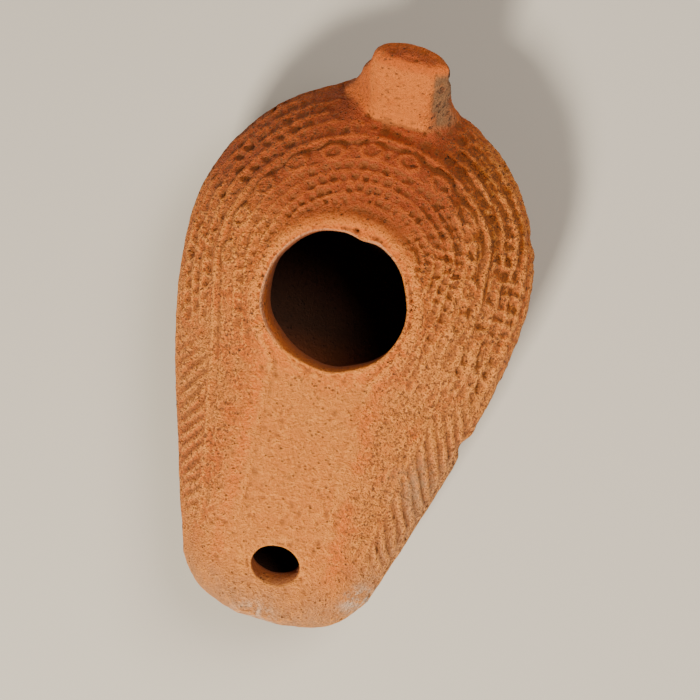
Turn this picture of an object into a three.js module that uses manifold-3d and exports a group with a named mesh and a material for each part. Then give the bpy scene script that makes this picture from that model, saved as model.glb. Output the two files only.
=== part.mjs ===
// A terracotta oil lamp, pressed in two moulds and joined along its widest line: one hollow piece.
// A station is a distance back from the front edge of the nozzle. x runs across, z runs up.
// All sizes are in millimetres.
import * as THREE from 'three'
import { mergeVertices } from 'three/addons/utils/BufferGeometryUtils.js'
import Module from 'manifold-3d'

const wasm = await Module()
wasm.setup()

// Heights and walls
const jointHeight = 17
const jointBand = 1.6
const jointRounding = 0.25
const collarHeight = 33
const nozzleHeight = 27.5
const wall = 3.9

// Curves of the shoulder and of the bowl below it: a straight share, then a bend
const shoulderStraightShare = 0.42
const shoulderBend = 2.4
const bowlStraightShare = 0.35
const bowlBend = 1.9

// Outline along the mould joint, seen from above
const nozzleHalfWidth = 18.3
const nozzleCornerDepth = 8.4
const leftCornerFullness = 0.84
const rightCornerFullness = 0.7
const bodyHalfWidth = 32.8
const bodyStation = 68.4
const bodyBackReach = 34.3
const rootFlareHalfWidth = 16
const rootHalfWidth = 8.4
const rootStation = 104.2
const rootEndStation = 105.8

// How far the outline's curves pull at their ends, as shares of what they span or in millimetres
const cornerFrontPull = 0.75
const cornerSidePull = 0.1
const flankSwell = 0.093
const flankFrontPull = 0.3
const flankBackPull = 0.27
const flarePull = 0.5
const rootOutwardPull = 0.6
const rootForwardPull = 0.7
const rootCornerRounding = 1

// Filling hole, its collar, and the channel that runs from it to the wick hole
const holeStation = 62
const holeOffset = -0.5
const holeRadius = 12.9
const collarRadius = 15.8
const collarRise = 1.3
const channelHalfWidth = 9.2
const channelFlare = 1.6
const channelRidgeRise = 0.9
const channelRidgeWidth = 2
const lipCrestShare = 0.45
const lipFloorShare = 0.7
const channelFallBend = 1.3
const collarEdgeMargin = 2.5
const collarFadeFront = 18
const collarFadeBack = 8
const nozzleMiddleStation = 10.8
const wickStation = 11.8
const wickOffset = 0.8
const wickRadius = 4.5
const wickBoreLean = 0.32

// Foot that the lamp stands on
const footHeight = 1.2
const footHalfWidth = 16.5
const footFrontStation = 34
const footFrontRadius = 7
const footGrooveInset = 2.2
const footGrooveWidth = 1.4
const footGrooveDepth = 0.5

// Tongue handle: a flat front that leans back, sides that spread, and an end that falls backward
const handleFrontHalfWidth = 5.6
const handleTopHalfWidth = 5.2
const handleSpread = 1.9
const handleTop = 42.5
const handleDome = 0.3
const handleEndFall = 2.8
const handleBackStation = 109
const handleFrontStation = 94.4
const handleFootHeight = 24
const handleFrontLean = 0.6
const handleBackLean = 0.17
const handleOffset = 1.5
const handleSideLean = 0.055
const handleFlare = 1.9
const handleFlareHeight = 7
const handleRootDrop = 1.8
const handleRootShrink = 0.75
const handleFallStart = 4
const handleWidestPlace = 0.35
const handleFrontSquareness = 0.34
const handleBackSquareness = 0.72

// Relief on the shoulder: a ridge all round, ringed bosses inside it, strokes beside the nozzle
const ridgeStation = 67
const ridgeOffset = 1.1
const ridgeRadius = 25.2
const ridgeRise = 0.6
const ridgeHalfWidth = 0.9
const ridgeFadeLength = 6
const rightPullIn = 2.1
const pullInAngle = THREE.MathUtils.degToRad(50)
const pullInSpan = THREE.MathUtils.degToRad(22)
const stemFrontStation = 16
const stemFrontReach = 15.7
const stemBackReach = 23.6
const stemBend = 1.15
const bossInset = 2.6
const bossCount = 12
const bossSpacing = 7
const bossTurn = THREE.MathUtils.degToRad(3)
const bossRadius = 2
const bossRise = 0.7
const strokeSpacing = 2.7
const strokeCount = 13
const strokeFirstStation = 49
const strokeMargin = 0.9
const strokeAngle = THREE.MathUtils.degToRad(36)
const strokeHalfWidth = 0.55
const strokeRise = 0.45
const strokeSink = 0.6

// Half of the outline, from the middle of the nozzle's front edge round to the handle's root
function halfOutline(cornerFullness) {
  const corner = new THREE.CubicBezierCurve(
    new THREE.Vector2(0, 0),
    new THREE.Vector2(nozzleHalfWidth * cornerFullness * cornerFrontPull, 0),
    new THREE.Vector2(nozzleHalfWidth * cornerFullness, nozzleCornerDepth * cornerSidePull),
    new THREE.Vector2(nozzleHalfWidth, nozzleCornerDepth))
  const flankLength = bodyStation - nozzleCornerDepth
  const flank = new THREE.CubicBezierCurve(
    new THREE.Vector2(nozzleHalfWidth, nozzleCornerDepth),
    new THREE.Vector2(nozzleHalfWidth + flankLength * flankSwell,
      nozzleCornerDepth + flankLength * flankFrontPull),
    new THREE.Vector2(bodyHalfWidth, bodyStation - flankLength * flankBackPull),
    new THREE.Vector2(bodyHalfWidth, bodyStation))
  const flareAngle = Math.acos(rootFlareHalfWidth / bodyHalfWidth)
  const back = new THREE.EllipseCurve(0, bodyStation, bodyHalfWidth, bodyBackReach, 0, flareAngle)
  const flareStart = back.getPoint(1)
  const flareDirection = back.getTangent(1)
  const flareReach = (rootFlareHalfWidth - rootHalfWidth) * flarePull
  const flare = new THREE.CubicBezierCurve(
    flareStart,
    flareStart.clone().addScaledVector(flareDirection, flareReach),
    new THREE.Vector2(rootHalfWidth + rootOutwardPull, rootStation - flareReach * rootForwardPull),
    new THREE.Vector2(rootHalfWidth, rootStation))
  const end = new THREE.QuadraticBezierCurve(
    new THREE.Vector2(rootHalfWidth, rootStation),
    new THREE.Vector2(rootHalfWidth - rootCornerRounding, rootEndStation),
    new THREE.Vector2(0, rootEndStation))
  const pieces = [[corner, 7], [flank, 15], [back, 12], [flare, 4], [end, 3]]
  const points = [new THREE.Vector2(0, 0)]
  for (const [curve, steps] of pieces) {
    for (let step = 1; step <= steps; step++) points.push(curve.getPoint(step / steps))
  }
  return points
}

// The whole outline, counterclockwise from above, starting at the front
function wholeOutline() {
  const right = halfOutline(rightCornerFullness)
  const left = halfOutline(leftCornerFullness).map(point => new THREE.Vector2(-point.x, point.y))
  return [...right, ...left.slice(1, -1).reverse()]
}

const outline = wholeOutline()

// Rays run out from the lamp's middle line, straight across the nozzle and radially round its ends
function middlePoint(station) {
  const farthest = Math.min(Math.max(station, nozzleMiddleStation), holeStation)
  return new THREE.Vector2(0, farthest)
}

function smoothLarger(first, second, blend) {
  const gap = first - second
  return 0.5 * (first + second + Math.sqrt(gap * gap + blend * blend))
}

// How far the collar and the channel's edges lie from the middle line
function collarReach(station) {
  if (station >= holeStation) return collarRadius
  const behind = holeStation - station
  const round = Math.sqrt(Math.max(collarRadius ** 2 - behind ** 2, 0))
  const toward = (station - nozzleMiddleStation) / (holeStation - nozzleMiddleStation)
  const straight = channelHalfWidth + channelFlare * Math.max(toward, 0) ** 2
  return smoothLarger(round, straight, 2) - 0.1
}

// Height of the shoulder where it meets the collar or the channel
function shoulderTop(station) {
  const forward = (holeStation - station) / (holeStation - nozzleMiddleStation)
  const fall = collarHeight - collarRise - (nozzleHeight - channelRidgeRise)
  return collarHeight - collarRise - fall * Math.max(forward, 0) ** channelFallBend
}

// The ridge runs down each flank of the nozzle as a stem
function stemReach(station) {
  const share = (station - stemFrontStation) / (holeStation - stemFrontStation)
  const bent = THREE.MathUtils.clamp(share, 0, 1) ** stemBend
  return THREE.MathUtils.lerp(stemFrontReach, stemBackReach, bent)
}

// Behind the filling hole's middle the ridge is a circle, drawn in a little on the right
function ridgeReach(root, direction) {
  if (root.y < holeStation) return stemReach(root.y)
  const away = root.clone().sub(new THREE.Vector2(ridgeOffset, ridgeStation))
  const along = direction.dot(away)
  const circle = -along + Math.sqrt(along ** 2 - away.lengthSq() + ridgeRadius ** 2)
  const toRight = Math.atan2(direction.x, direction.y)
  const drawnIn = THREE.MathUtils.smoothstep(toRight, pullInAngle, pullInAngle + pullInSpan)
  return circle - rightPullIn * drawnIn
}

function makeRay(edgePoint) {
  const root = middlePoint(edgePoint.y)
  const across = edgePoint.clone().sub(root)
  const edge = across.length()
  const direction = across.normalize()
  const collar = Math.min(collarReach(root.y), edge - collarEdgeMargin)
  const ridge = Math.min(ridgeReach(root, direction), edge - 2)
  return { root, direction, edge, collar, ridge, top: shoulderTop(root.y) }
}

// Convex fall of the shoulder, from 1 at the collar to 0 at the mould joint
function shoulderFall(share) {
  return 1 - shoulderStraightShare * share - (1 - shoulderStraightShare) * share ** shoulderBend
}

function shoulderHeight(ray, distance) {
  const share = Math.max((distance - ray.collar) / (ray.edge - ray.collar), 0)
  const bandTop = jointHeight + jointBand / 2
  return bandTop + (ray.top - bandTop) * shoulderFall(share)
}

function place(x, station, height) {
  return new THREE.Vector3(x, station - handleBackStation / 2, height)
}

function rayPoint(ray, distance, height) {
  return place(
    ray.root.x + ray.direction.x * distance,
    ray.root.y + ray.direction.y * distance,
    height)
}

// A closed skin through rings of points, whose first and last rings are each drawn to a line or point
function closedSkin(rings) {
  const count = rings[0].length
  const positions = []
  for (const ring of rings) for (const point of ring) positions.push(point.x, point.y, point.z)
  const faces = []
  for (let row = 0; row + 1 < rings.length; row++) {
    for (let column = 0; column < count; column++) {
      const next = (column + 1) % count
      const a = row * count + column
      const b = row * count + next
      const c = (row + 1) * count + next
      const d = (row + 1) * count + column
      faces.push([a, b, c], [a, c, d])
    }
  }
  return asSolid(positions, faces)
}

function asSolid(positions, faces) {
  const geometry = new THREE.BufferGeometry()
  geometry.setAttribute('position', new THREE.Float32BufferAttribute(positions, 3))
  geometry.setIndex(faces.flat())
  const merged = mergeVertices(geometry, 1e-4)
  const index = merged.getIndex().array
  const triVerts = []
  for (let start = 0; start < index.length; start += 3) {
    const [a, b, c] = index.slice(start, start + 3)
    if (a !== b && b !== c && c !== a) triVerts.push(a, b, c)
  }
  return new wasm.Manifold(new wasm.Mesh({
    numProp: 3,
    vertProperties: new Float32Array(merged.getAttribute('position').array),
    triVerts: new Uint32Array(triVerts),
  }))
}

// A three.js geometry as a solid, moved into its place
function geometrySolid(geometry, matrix) {
  geometry.applyMatrix4(matrix)
  geometry.deleteAttribute('normal')
  geometry.deleteAttribute('uv')
  const index = Array.from(geometry.getIndex().array)
  const faces = []
  for (let start = 0; start < index.length; start += 3) faces.push(index.slice(start, start + 3))
  return asSolid(Array.from(geometry.getAttribute('position').array), faces)
}

const rays = outline.map(makeRay)

// The underside's rays run in to a shorter middle line, so that the foot is almond shaped
function underRay(edgePoint) {
  const spineLength = holeStation - nozzleMiddleStation
  const along = (middlePoint(edgePoint.y).y - nozzleMiddleStation) / spineLength
  const root = new THREE.Vector2(0, THREE.MathUtils.lerp(footFrontStation, holeStation, along))
  const across = edgePoint.clone().sub(root)
  const edge = across.length()
  const widening = Math.sin(along * Math.PI / 2)
  const foot = THREE.MathUtils.lerp(footFrontRadius, footHalfWidth, widening)
  return { root, direction: across.normalize(), edge, foot }
}

const underRays = outline.map(underRay)

// The bowl of the underside, from 0 at the foot to 1 at the mould joint
function bowlRise(share) {
  return bowlStraightShare * share + (1 - bowlStraightShare) * share ** bowlBend
}

function bowlHeight(ray, distance) {
  const share = Math.max((distance - ray.foot) / (ray.edge - ray.foot), 0)
  return footHeight + (jointHeight - jointBand / 2 - footHeight) * bowlRise(share)
}

function outerBody() {
  const rings = []
  const grooveOuter = footGrooveInset
  const grooveMiddle = footGrooveInset + footGrooveWidth / 2
  const grooveInner = footGrooveInset + footGrooveWidth
  const footSteps = [[grooveInner, 0], [grooveMiddle, footGrooveDepth], [grooveOuter, 0], [0, 0]]
  rings.push(underRays.map(ray => rayPoint(ray, 0, 0)))
  for (const [inset, height] of footSteps) {
    rings.push(underRays.map(ray => rayPoint(ray, ray.foot - inset, height)))
  }
  for (const share of [0, 0.25, 0.5, 0.7, 0.86]) {
    rings.push(underRays.map(ray => {
      const distance = THREE.MathUtils.lerp(ray.foot + footHeight * 0.5, ray.edge, share)
      return rayPoint(ray, distance, bowlHeight(ray, distance))
    }))
  }
  for (const height of [-0.5, 0, 0.5]) {
    const inset = height === 0 ? 0 : jointRounding
    rings.push(rays.map(ray => rayPoint(ray, ray.edge - inset, jointHeight + height * jointBand)))
  }
  const reliefStops = [
    ray => [THREE.MathUtils.lerp(ray.edge, ray.ridge, 0.3), 0],
    ray => [THREE.MathUtils.lerp(ray.edge, ray.ridge, 0.65), 0],
    ray => [ray.ridge + ridgeHalfWidth, 0],
    ray => [ray.ridge, ridgeRise * ridgeStrength(ray)],
    ray => [ray.ridge - ridgeHalfWidth, 0],
    ray => [THREE.MathUtils.lerp(ray.ridge, ray.collar, 0.55), 0],
    ray => [ray.collar, 0],
  ]
  for (const stop of reliefStops) {
    rings.push(rays.map(ray => {
      const [distance, rise] = stop(ray)
      return rayPoint(ray, distance, shoulderHeight(ray, distance) + rise)
    }))
  }
  rings.push(rays.map(ray => {
    return rayPoint(ray, ray.collar - lipWidth(ray) * lipCrestShare, ray.top + lipRise(ray))
  }))
  rings.push(rays.map(ray => rayPoint(ray, ray.collar - lipWidth(ray), ray.top + lipFloor(ray))))
  rings.push(rays.map(ray => rayPoint(ray, 0, ray.top + lipFloor(ray))))
  return closedSkin(rings)
}

// The ridge dies out where the strokes reach the nozzle's front corners
function ridgeStrength(ray) {
  return THREE.MathUtils.smoothstep(ray.root.y, nozzleMiddleStation, nozzleMiddleStation + ridgeFadeLength)
}

// The lip is a full collar round the filling hole and a low ridge along the channel
function collarStrength(ray) {
  return THREE.MathUtils.smoothstep(ray.root.y, holeStation - collarFadeFront, holeStation - collarFadeBack)
}

function lipWidth(ray) {
  return THREE.MathUtils.lerp(channelRidgeWidth, collarRadius - holeRadius, collarStrength(ray))
}

function lipRise(ray) {
  return THREE.MathUtils.lerp(channelRidgeRise, collarRise, collarStrength(ray))
}

function lipFloor(ray) {
  return lipRise(ray) * lipFloorShare * collarStrength(ray)
}

// The hollow inside, one wall's thickness within the outer surface
function hollow() {
  const rings = []
  const slopeStep = 0.05
  const inward = (ray, distance, heightAt, side) => {
    const slope = (heightAt(ray, distance) - heightAt(ray, distance - slopeStep)) / slopeStep
    const length = Math.hypot(1, slope)
    return rayPoint(
      ray,
      distance - wall * Math.abs(slope) / length,
      heightAt(ray, distance) + side * wall / length)
  }
  rings.push(underRays.map(ray => rayPoint(ray, 0, footHeight + wall)))
  for (const share of [0.03, 0.3, 0.55, 0.8]) {
    rings.push(underRays.map(ray => {
      const distance = THREE.MathUtils.lerp(ray.foot + 1, ray.edge, share)
      return inward(ray, distance, bowlHeight, 1)
    }))
  }
  rings.push(rays.map(ray => rayPoint(ray, ray.edge - wall - rootDepth(ray), jointHeight)))
  for (const share of [0.2, 0.45, 0.7, 0.95]) {
    rings.push(rays.map(ray => {
      const distance = THREE.MathUtils.lerp(ray.edge - rootDepth(ray), ray.collar, share)
      return inward(ray, distance, shoulderHeight, -1)
    }))
  }
  rings.push(rays.map(ray => rayPoint(ray, 0, ray.top - wall)))
  return closedSkin(rings)
}

// The handle's root is solid clay: there the hollow keeps to the round of the body
function rootDepth(ray) {
  const roundEdge = bodyStation + bodyBackReach - holeStation
  return Math.max(ray.edge - roundEdge, 0)
}

// One ring of the handle: flat in front and widest behind its middle. Its back falls below its front
function handleRing(height, shrink = 1, lift = 0) {
  const steps = 24
  const edgeHeight = handleTop - handleDome
  const up = THREE.MathUtils.clamp((height - handleFootHeight) / (edgeHeight - handleFootHeight), -1, 1)
  const front = handleFrontStation + (height - handleFootHeight) * handleFrontLean
  const back = handleBackStation - (edgeHeight - height) * handleBackLean
  const flare = handleFlare * Math.exp(-Math.max(height - jointHeight, 0) / handleFlareHeight)
  const fallStart = handleFootHeight + handleFallStart
  const fall = handleEndFall * THREE.MathUtils.smoothstep(height, fallStart, edgeHeight)
  const size = height < jointHeight ? handleRootShrink * shrink : shrink
  const middleX = handleOffset + (height - handleFootHeight) * handleSideLean
  const points = []
  for (let step = 0; step < steps; step++) {
    const angle = step / steps * Math.PI * 2
    const squareness = Math.sin(angle) < 0 ? handleFrontSquareness : handleBackSquareness
    const across = Math.sign(Math.cos(angle)) * Math.abs(Math.cos(angle)) ** squareness
    const along = Math.sign(Math.sin(angle)) * Math.abs(Math.sin(angle)) ** squareness
    const spread = (handleSpread + flare) * THREE.MathUtils.smoothstep(along, -1, handleWidestPlace)
    const halfWidth = THREE.MathUtils.lerp(handleFrontHalfWidth, handleTopHalfWidth, up) + spread
    points.push(place(
      middleX + halfWidth * size * across,
      (front + back) / 2 + (back - front) / 2 * size * along,
      height + lift - fall * (0.5 + 0.5 * along * shrink)))
  }
  return points
}

function handle() {
  const edgeHeight = handleTop - handleDome
  const heights = [jointHeight - handleRootDrop]
  for (const share of [0, 0.12, 0.25, 0.4, 0.6, 0.8, 0.92, 1]) {
    heights.push(THREE.MathUtils.lerp(jointHeight, edgeHeight, share))
  }
  const rings = heights.map(height => handleRing(height))
  const first = ringMiddle(rings[0])
  for (const shrink of [0.9, 0.55]) {
    rings.push(handleRing(edgeHeight, shrink, handleDome * (1 - shrink ** 2)))
  }
  return closedSkin([first, ...rings, ringMiddle(rings[rings.length - 1])])
}

// A ring's middle, repeated so that a skin can be drawn to it
function ringMiddle(ring) {
  const centre = new THREE.Vector3()
  for (const point of ring) centre.addScaledVector(point, 1 / ring.length)
  return new Array(ring.length).fill(centre)
}

// Height of the shoulder at any place in plan, found along the ray that passes through it
function surfaceHeight(x, station) {
  const root = middlePoint(station)
  const offset = new THREE.Vector2(x, station).sub(root)
  const direction = offset.clone().normalize()
  let edgePoint = null
  for (let start = 0; start < outline.length; start++) {
    const from = outline[start].clone().sub(root)
    const along = outline[(start + 1) % outline.length].clone().sub(outline[start])
    const determinant = direction.x * along.y - direction.y * along.x
    const share = (from.x * direction.y - from.y * direction.x) / determinant
    const reach = (from.x * along.y - from.y * along.x) / determinant
    if (share >= 0 && share < 1 && reach > 0) {
      edgePoint = direction.clone().multiplyScalar(reach).add(root)
    }
  }
  const edge = edgePoint.clone().sub(root).length()
  const ray = { root, direction, edge, collar: collarReach(root.y), top: shoulderTop(root.y) }
  return shoulderHeight(ray, offset.length())
}

function surfaceNormal(x, station) {
  const step = 0.4
  const acrossFall = surfaceHeight(x + step, station) - surfaceHeight(x - step, station)
  const alongFall = surfaceHeight(x, station + step) - surfaceHeight(x, station - step)
  return new THREE.Vector3(-acrossFall, -alongFall, step * 2).normalize()
}

// A round boss with a dimple, standing square to the shoulder
function boss(x, station) {
  const sides = 10
  const stops = [[0, -1.2], [bossRadius, -1.2], [bossRadius, 0.1], [bossRadius * 0.68, bossRise],
    [bossRadius * 0.4, bossRise * 0.8], [0, bossRise * 0.35]]
  const turn = new THREE.Quaternion().setFromUnitVectors(
    new THREE.Vector3(0, 0, 1), surfaceNormal(x, station))
  const centre = place(x, station, surfaceHeight(x, station))
  const rings = stops.map(([radius, height]) => {
    const points = []
    for (let side = 0; side < sides; side++) {
      const angle = side / sides * Math.PI * 2
      const point = new THREE.Vector3(Math.cos(angle) * radius, Math.sin(angle) * radius, height)
      points.push(point.applyQuaternion(turn).add(centre))
    }
    return points
  })
  return closedSkin(rings)
}

function bosses() {
  const made = []
  const spread = bossSpacing / (ridgeRadius - bossInset)
  for (let number = 0; number < bossCount; number++) {
    const angle = (number - (bossCount - 1) / 2) * spread + bossTurn
    const drawnIn = THREE.MathUtils.smoothstep(angle, pullInAngle, pullInAngle + pullInSpan)
    const reach = ridgeRadius - bossInset - rightPullIn * drawnIn
    made.push(boss(ridgeOffset + Math.sin(angle) * reach, ridgeStation + Math.cos(angle) * reach))
  }
  return made
}

// A raised stroke that runs out and forward from the ridge to the edge of the shoulder
function stroke(side, station) {
  const halfWidth = edgeHalfWidth(station)
  const start = stemReach(station)
  const taper = (halfWidth - edgeHalfWidth(station - strokeSpacing)) / strokeSpacing
  const room = halfWidth - strokeMargin - start
  const length = room / (Math.sin(strokeAngle) + Math.cos(strokeAngle) * taper)
  const rings = []
  const stops = [[0.1, 0.6], [0.55, 1], [1, 0.7]]
  for (const [share, full] of stops) {
    const x = start + Math.sin(strokeAngle) * length * share
    const y = station - Math.cos(strokeAngle) * length * share
    const width = strokeHalfWidth * full
    const corner = (sideways, rise) => {
      const cornerX = side * (x + sideways * Math.cos(strokeAngle))
      const cornerY = y + sideways * Math.sin(strokeAngle)
      return place(cornerX, cornerY, surfaceHeight(cornerX, cornerY) + rise)
    }
    const corners = [corner(-width * 1.4, -strokeSink), corner(-width * 0.5, strokeRise * full),
      corner(width * 0.5, strokeRise * full), corner(width * 1.4, -strokeSink)]
    rings.push(side > 0 ? corners.reverse() : corners)
  }
  return closedSkin([ringMiddle(rings[0]), ...rings, ringMiddle(rings[rings.length - 1])])
}

function edgeHalfWidth(station) {
  for (let step = 1; step < outline.length / 2; step++) {
    const from = outline[step - 1]
    const to = outline[step]
    if (from.y <= station && station <= to.y) {
      return THREE.MathUtils.mapLinear(station, from.y, to.y, from.x, to.x)
    }
  }
  return bodyHalfWidth
}

function strokes() {
  const made = []
  for (const side of [-1, 1]) {
    for (let number = 0; number < strokeCount; number++) {
      made.push(stroke(side, strokeFirstStation - number * strokeSpacing))
    }
  }
  return made
}

function fillingBore() {
  const depth = collarHeight - jointHeight
  const geometry = new THREE.CylinderGeometry(holeRadius, holeRadius, depth, 48)
  const matrix = new THREE.Matrix4().makeRotationX(Math.PI / 2)
  matrix.setPosition(place(holeOffset, holeStation, jointHeight + depth / 2 + 2))
  return geometrySolid(geometry, matrix)
}

// The wick bore leans, so that its front side slopes in towards the hollow
function wickBore() {
  const depth = nozzleHeight - jointHeight + 4
  const geometry = new THREE.CylinderGeometry(wickRadius, wickRadius, depth, 24)
  const lean = new THREE.Matrix4().makeShear(0, 0, 0, 0, 0, -wickBoreLean)
  const matrix = new THREE.Matrix4().makeRotationX(Math.PI / 2)
  matrix.premultiply(lean)
  const centreHeight = nozzleHeight + 2 - depth / 2
  const centreStation = wickStation + wickBoreLean * (nozzleHeight - centreHeight)
  matrix.setPosition(place(wickOffset, centreStation, centreHeight))
  return geometrySolid(geometry, matrix)
}

function lampSolid() {
  let solid = outerBody().add(handle())
  for (const raised of [...bosses(), ...strokes()]) solid = solid.add(raised)
  return solid.subtract(hollow()).subtract(fillingBore()).subtract(wickBore())
}

function solidGeometry(solid) {
  const { vertProperties, triVerts } = solid.getMesh()
  const geometry = new THREE.BufferGeometry()
  geometry.setAttribute('position', new THREE.BufferAttribute(vertProperties, 3))
  geometry.setIndex(new THREE.BufferAttribute(triVerts, 1))
  geometry.computeVertexNormals()
  return geometry
}

const terracotta = new THREE.MeshStandardMaterial({ color: 0xc98c58, roughness: 0.9, metalness: 0 })

const lamp = new THREE.Mesh(solidGeometry(lampSolid()), terracotta)
lamp.name = 'lamp_body'

const group = new THREE.Group()
group.add(lamp)

export default group
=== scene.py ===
# Terracotta oil lamp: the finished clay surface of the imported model, in its frame.
# The lamp is worked out in millimetres and written in metres. A station is a distance back
# from the front edge of the nozzle, x runs across, z runs up.
import bpy
import math
import numpy as np
from mathutils import Matrix, Vector


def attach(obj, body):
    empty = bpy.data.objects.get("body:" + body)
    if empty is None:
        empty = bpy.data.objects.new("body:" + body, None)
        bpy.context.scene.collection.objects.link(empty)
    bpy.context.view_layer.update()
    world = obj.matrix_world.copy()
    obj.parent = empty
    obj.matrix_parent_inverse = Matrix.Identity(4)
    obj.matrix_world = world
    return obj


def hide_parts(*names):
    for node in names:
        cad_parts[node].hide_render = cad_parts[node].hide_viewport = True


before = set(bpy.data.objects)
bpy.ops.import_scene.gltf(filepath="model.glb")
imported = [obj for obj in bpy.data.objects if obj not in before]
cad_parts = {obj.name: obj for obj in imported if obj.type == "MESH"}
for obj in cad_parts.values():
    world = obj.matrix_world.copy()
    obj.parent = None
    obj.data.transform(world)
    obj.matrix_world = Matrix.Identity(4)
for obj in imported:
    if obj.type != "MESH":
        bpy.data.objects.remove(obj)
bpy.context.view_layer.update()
millimetre = 0.001

# Sizes of the moulded body, as in the solid. A pull is how far a curve reaches toward its next end
lamp = {
    "jointHeight": 17.0,
    "jointBand": 1.6,
    "jointRounding": 0.25,
    "collarHeight": 33.0,
    "nozzleHeight": 27.5,
    "wall": 3.9,
    "shoulderStraight": 0.42,
    "shoulderCurved": 0.58,
    "shoulderBend": 2.4,
    "bowlStraight": 0.35,
    "bowlCurved": 0.65,
    "bowlBend": 1.9,
    "nozzleHalfWidth": 18.3,
    "nozzleCornerDepth": 8.4,
    "leftCornerFullness": 0.82,
    "rightCornerFullness": 0.7,
    "leftFrontReach": 0.52,
    "rightFrontReach": 0.84,
    "cornerSidePull": 0.1,
    "bodyHalfWidth": 32.8,
    "bodyStation": 68.4,
    "bodyBackReach": 34.3,
    "flankSwell": 0.093,
    "flankFrontPull": 0.3,
    "flankBackPull": 0.27,
    "rootFlareHalfWidth": 16.0,
    "rootFlarePull": 0.5,
    "rootHalfWidth": 8.4,
    "rootStation": 104.2,
    "rootOutwardPull": 0.6,
    "rootForwardPull": 0.7,
    "rootCornerRounding": 1.0,
    "rootEndStation": 105.8,
    "backStation": 109.0,
    "footHeight": 1.2,
    "footHalfWidth": 16.5,
    "footFrontStation": 34.0,
    "footFrontRadius": 7.0,
    "footGrooveInset": 2.2,
    "footGrooveWidth": 1.4,
    "footGrooveDepth": 0.5,
}

# How finely the skins are divided
division = {
    "corner": 46, "flank": 146, "back": 112, "flare": 22, "end": 20,
    "cornerCurve": 200, "flankCurve": 400, "backCurve": 300, "rootCurve": 100,
    "shoulderRows": 66, "lipRows": 9, "floorRows": 14, "footRows": 6, "bowlRows": 14,
    "hollowSkip": 2, "hollowRows": 14,
    "handleColumns": 104, "handleSteps": 1441, "handleRows": 44, "handleTopRows": 14,
    "mouthColumns": 220, "mouthRows": 40, "wickColumns": 110, "wickRows": 36,
}


def smoothstep(value, low, high):
    share = np.clip((value - low) / (high - low), 0.0, 1.0)
    return share * share * (3.0 - 2.0 * share)


def mix(first, second, share):
    return first + (second - first) * share


# A soft bump of height 1 around a value
def bell(value, middle, width):
    return np.exp(-((value - middle) / width) ** 2)


def bezier(controls, count):
    share = np.linspace(0.0, 1.0, count + 1)[:, None]
    points = [np.array(control, float) for control in controls]
    degree = len(points) - 1
    total = 0.0
    for number, point in enumerate(points):
        weight = math.comb(degree, number) * share ** number * (1.0 - share) ** (degree - number)
        total = total + weight * point
    return total


# Points spread evenly along a polyline
def evenly(points, count):
    steps = np.hypot(*np.diff(points, axis=0).T)
    run = np.concatenate([[0.0], np.cumsum(steps)])
    wanted = np.linspace(0.0, run[-1], count + 1)
    return np.stack([np.interp(wanted, run, points[:, axis]) for axis in (0, 1)], axis=1)


# Half of the mould joint's outline, from the front of the nozzle to the handle's root
def halfOutline(fullness, frontReach):
    width, depth = lamp["nozzleHalfWidth"], lamp["nozzleCornerDepth"]
    body, station = lamp["bodyHalfWidth"], lamp["bodyStation"]
    length = station - depth
    corner = bezier([(0, 0), (width * fullness * frontReach, 0),
                     (width * fullness, depth * lamp["cornerSidePull"]), (width, depth)],
                    division["cornerCurve"])
    flank = bezier([(width, depth),
                    (width + length * lamp["flankSwell"], depth + length * lamp["flankFrontPull"]),
                    (body, station - length * lamp["flankBackPull"]), (body, station)],
                   division["flankCurve"])
    flareAngle = math.acos(lamp["rootFlareHalfWidth"] / body)
    angles = np.linspace(0.0, flareAngle, division["backCurve"])
    back = np.stack([body * np.cos(angles), station + lamp["bodyBackReach"] * np.sin(angles)], axis=1)
    direction = back[-1] - back[-2]
    direction /= np.hypot(*direction)
    root, rootStation = lamp["rootHalfWidth"], lamp["rootStation"]
    reach = (lamp["rootFlareHalfWidth"] - root) * lamp["rootFlarePull"]
    flare = bezier([back[-1], back[-1] + direction * reach,
                    (root + lamp["rootOutwardPull"], rootStation - reach * lamp["rootForwardPull"]),
                    (root, rootStation)], division["rootCurve"])
    end = bezier([(root, rootStation), (root - lamp["rootCornerRounding"], lamp["rootEndStation"]),
                  (0, lamp["rootEndStation"])], division["rootCurve"])
    line = [np.zeros((1, 2))]
    pieces = {"corner": corner, "flank": flank, "back": back, "flare": flare, "end": end}
    for name, piece in pieces.items():
        line.append(evenly(piece, division[name])[1:])
    return np.concatenate(line)


def wholeOutline():
    right = halfOutline(lamp["rightCornerFullness"], lamp["rightFrontReach"])
    left = halfOutline(lamp["leftCornerFullness"], lamp["leftFrontReach"]) * [-1.0, 1.0]
    return np.concatenate([right, left[1:-1][::-1]])


# Filling hole with its collar, and the channel to the wick hole
mouth = {
    "holeStation": 62.0,
    "holeOffset": -0.5,
    "holeRadius": 12.9,
    "collarRadius": 15.8,
    "collarRise": 1.3,
    "collarBlend": 2.0,
    "collarTuck": 0.1,
    "collarMargin": 2.5,
    "collarFade": (18.0, 8.0),
    "channelHalfWidth": 9.2,
    "channelFlare": 1.6,
    "channelFallBend": 1.3,
    "channelRidgeRise": 0.9,
    "channelRidgeWidth": 2.0,
    "channelRidgeWear": 0.3,
    "channelRidgeEnds": (11.0, 26.0),
    "lipFoot": (-0.15, -0.55),
    "lipCrest": 0.5,
    "lipFloorShare": 0.7,
    "wickStation": 10.8,
}


def smoothLarger(first, second, blend):
    return 0.5 * (first + second + np.sqrt((first - second) ** 2 + blend ** 2))


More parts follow.
